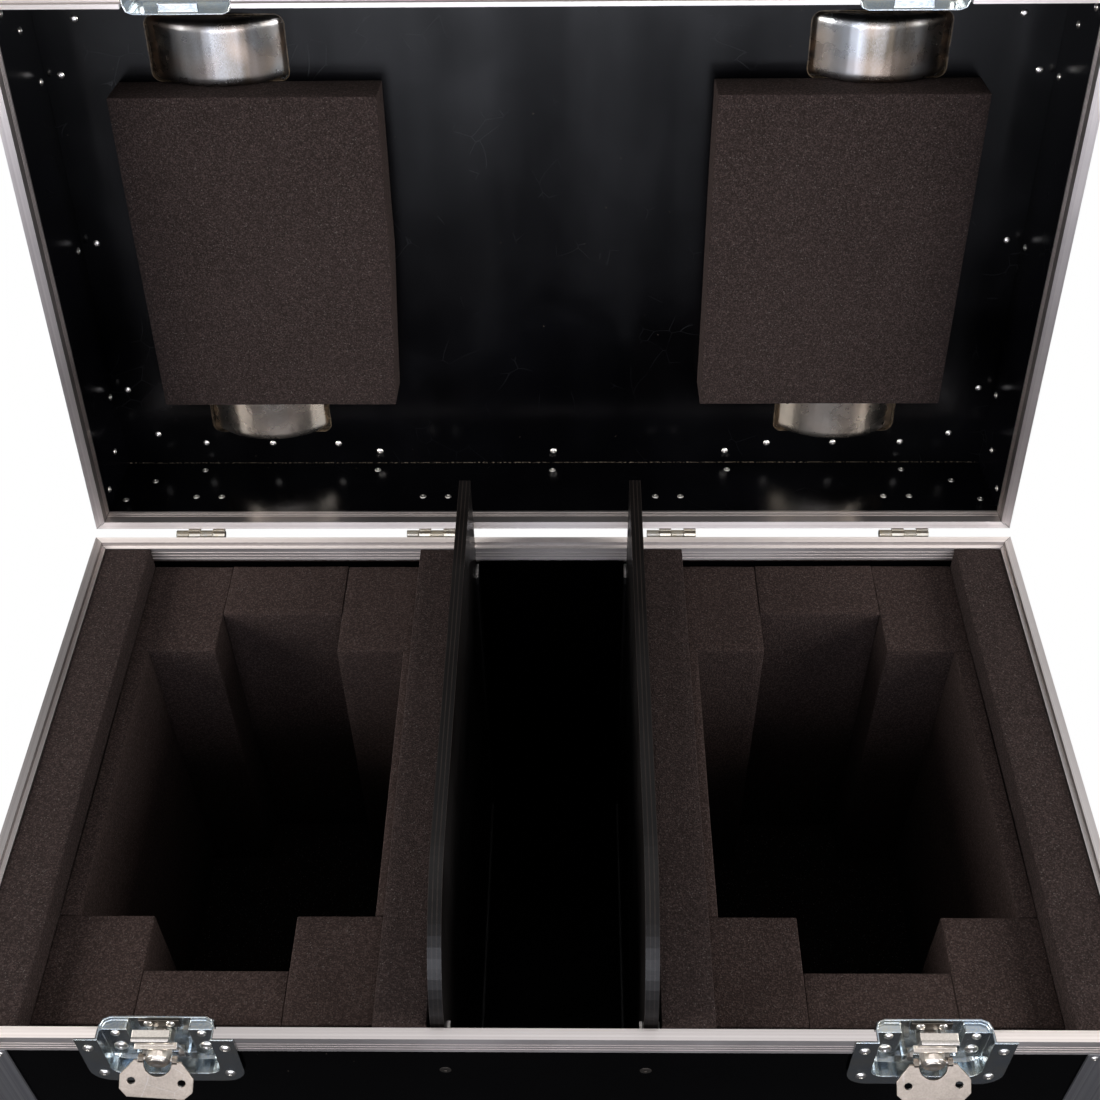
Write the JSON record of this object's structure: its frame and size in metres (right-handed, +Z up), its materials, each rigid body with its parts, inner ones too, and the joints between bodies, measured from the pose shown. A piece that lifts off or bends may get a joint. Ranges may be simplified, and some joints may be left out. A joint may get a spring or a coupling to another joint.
{
  "type": "lighting flight case",
  "caption": "Black flight case on castors for two stage lights: lid standing open, foam pits, two dividers, butterfly latches.",
  "frame": {"origin": "centre of the floor board's underside, where the castors' plates are bolted", "axes": "+X to the right as seen from the front, +Y to the back where the hinges are, +Z up; the lid is open"},
  "size_m": [0.8664, 0.7087, 1.0604],
  "materials": {
    "laminate": "black phenolic film on 7 mm plywood, satin",
    "plywood": "dark stained birch plywood with its layers showing at the edge",
    "aluminium": "satin extruded aluminium with fine lines along it",
    "zinc": "blue passivated zinc plating, faintly iridescent",
    "steel": "bright plated pressed steel",
    "foam": "charcoal polyethylene foam, closed cells, cut faces",
    "rubber": "dark rubber tread on a dark hub"
  },
  "bodies": {
    "base": {"base_floor_panel": "laminate", "base_front_panel": "laminate", "base_rear_panel": "laminate", "base_left_panel": "laminate", "base_right_panel": "laminate", "base_rim": "aluminium", "base_rim_front": "aluminium", "base_edging": "aluminium", "divider_channel_left": "aluminium", "divider_channel_right": "aluminium", "divider_left": "plywood", "divider_right": "plywood", "hinge_base_leaf_1": "zinc", "hinge_base_leaf_2": "zinc", "hinge_base_leaf_3": "zinc", "hinge_base_leaf_4": "zinc", "latch_lower_dish_left": "zinc", "latch_lower_dish_right": "zinc", "handle_dish_left": "zinc", "handle_dish_right": "zinc", "foam_side_slab_left": "foam", "foam_side_slab_right": "foam", "foam_liner_left": "foam", "foam_liner_right": "foam"},
    "lid": {"lid_top_panel": "laminate", "lid_front_panel": "laminate", "lid_rear_panel": "laminate", "lid_left_panel": "laminate", "lid_right_panel": "laminate", "lid_rim": "aluminium", "lid_rim_front": "aluminium", "lid_edging": "aluminium", "hinge_lid_leaf_1": "zinc", "hinge_lid_leaf_2": "zinc", "hinge_lid_leaf_3": "zinc", "hinge_lid_leaf_4": "zinc", "latch_upper_dish_left": "zinc", "latch_upper_dish_right": "zinc", "stacking_dish_front_left": "steel", "stacking_dish_front_right": "steel", "stacking_dish_rear_left": "steel", "stacking_dish_rear_right": "steel", "lid_pad_left": "foam", "lid_pad_right": "foam"},
    "hook_left": {"latch_hook_left": "steel"},
    "spindle_left": {"latch_spindle_left": "zinc"},
    "butterfly_left": {"latch_butterfly_left": "steel"},
    "castor_front_left": {"castor_fork_front_left": "zinc"},
    "wheel_front_left": {"castor_wheel_front_left": "rubber"},
    "castor_rear_left": {"castor_fork_rear_left": "zinc"},
    "wheel_rear_left": {"castor_wheel_rear_left": "rubber"},
    "bail_left": {"handle_bail_left": "steel"},
    "hook_right": {"latch_hook_right": "steel"},
    "spindle_right": {"latch_spindle_right": "zinc"},
    "butterfly_right": {"latch_butterfly_right": "steel"},
    "castor_front_right": {"castor_fork_front_right": "zinc"},
    "wheel_front_right": {"castor_wheel_front_right": "rubber"},
    "castor_rear_right": {"castor_fork_rear_right": "zinc"},
    "wheel_rear_right": {"castor_wheel_rear_right": "rubber"},
    "bail_right": {"handle_bail_right": "steel"}
  },
  "joints": [
    {"name": "lid_hinge", "type": "hinge", "parent": "base", "child": "lid", "pos_m": [0, 0.2523, 0.4288], "axis": [1, 0, 0], "range_deg": [0, 98.9]},
    {"name": "spindle_turn_left", "type": "hinge", "parent": "base", "child": "spindle_left", "pos_m": [-0.275, -0.2473, 0.409], "axis": [0, 1, 0], "range_deg": [0, 180]},
    {"name": "hook_tilt_left", "type": "hinge", "parent": "base", "child": "hook_left", "pos_m": [-0.275, -0.2398, 0.396], "axis": [-1, 0, 0], "range_deg": [0, 16]},
    {"name": "butterfly_fold_left", "type": "hinge", "parent": "spindle_left", "child": "butterfly_left", "pos_m": [-0.275, -0.2525, 0.409], "axis": [0.9903, 0, -0.1392], "range_deg": [-57, 33]},
    {"name": "castor_swivel_front_left", "type": "hinge", "parent": "base", "child": "castor_front_left", "pos_m": [-0.311, -0.1735, -0.01], "axis": [0, 0, 1], "continuous": true},
    {"name": "wheel_roll_front_left", "type": "hinge", "parent": "castor_front_left", "child": "wheel_front_left", "pos_m": [-0.273, -0.1735, -0.087], "axis": [0, 1, 0], "continuous": true},
    {"name": "castor_swivel_rear_left", "type": "hinge", "parent": "base", "child": "castor_rear_left", "pos_m": [-0.311, 0.1735, -0.01], "axis": [0, 0, 1], "continuous": true},
    {"name": "wheel_roll_rear_left", "type": "hinge", "parent": "castor_rear_left", "child": "wheel_rear_left", "pos_m": [-0.273, 0.1735, -0.087], "axis": [0, 1, 0], "continuous": true},
    {"name": "handle_lift_left", "type": "hinge", "parent": "base", "child": "bail_left", "pos_m": [-0.4209, 0, 0.286], "axis": [0, 1, 0], "range_deg": [0, 90], "stiffness_Nm_per_rad": 0.15, "springref_deg": -20.05},
    {"name": "spindle_turn_right", "type": "hinge", "parent": "base", "child": "spindle_right", "pos_m": [0.275, -0.2473, 0.409], "axis": [0, 1, 0], "range_deg": [0, 180]},
    {"name": "hook_tilt_right", "type": "hinge", "parent": "base", "child": "hook_right", "pos_m": [0.275, -0.2398, 0.396], "axis": [-1, 0, 0], "range_deg": [0, 16]},
    {"name": "butterfly_fold_right", "type": "hinge", "parent": "spindle_right", "child": "butterfly_right", "pos_m": [0.275, -0.2525, 0.409], "axis": [0.9962, 0, 0.0872], "range_deg": [-57, 33]},
    {"name": "castor_swivel_front_right", "type": "hinge", "parent": "base", "child": "castor_front_right", "pos_m": [0.311, -0.1735, -0.01], "axis": [0, 0, 1], "continuous": true},
    {"name": "wheel_roll_front_right", "type": "hinge", "parent": "castor_front_right", "child": "wheel_front_right", "pos_m": [0.273, -0.1735, -0.087], "axis": [0, 1, 0], "continuous": true},
    {"name": "castor_swivel_rear_right", "type": "hinge", "parent": "base", "child": "castor_rear_right", "pos_m": [0.311, 0.1735, -0.01], "axis": [0, 0, 1], "continuous": true},
    {"name": "wheel_roll_rear_right", "type": "hinge", "parent": "castor_rear_right", "child": "wheel_rear_right", "pos_m": [0.273, 0.1735, -0.087], "axis": [0, 1, 0], "continuous": true},
    {"name": "handle_lift_right", "type": "hinge", "parent": "base", "child": "bail_right", "pos_m": [0.4209, 0, 0.286], "axis": [0, -1, 0], "range_deg": [0, 90], "stiffness_Nm_per_rad": 0.15, "springref_deg": -20.05}
  ],
  "couplings": [
    {"joint": "hook_tilt_left", "follows": "spindle_turn_left", "ratio": 0.088888},
    {"joint": "hook_tilt_right", "follows": "spindle_turn_right", "ratio": 0.088888}
  ]
}
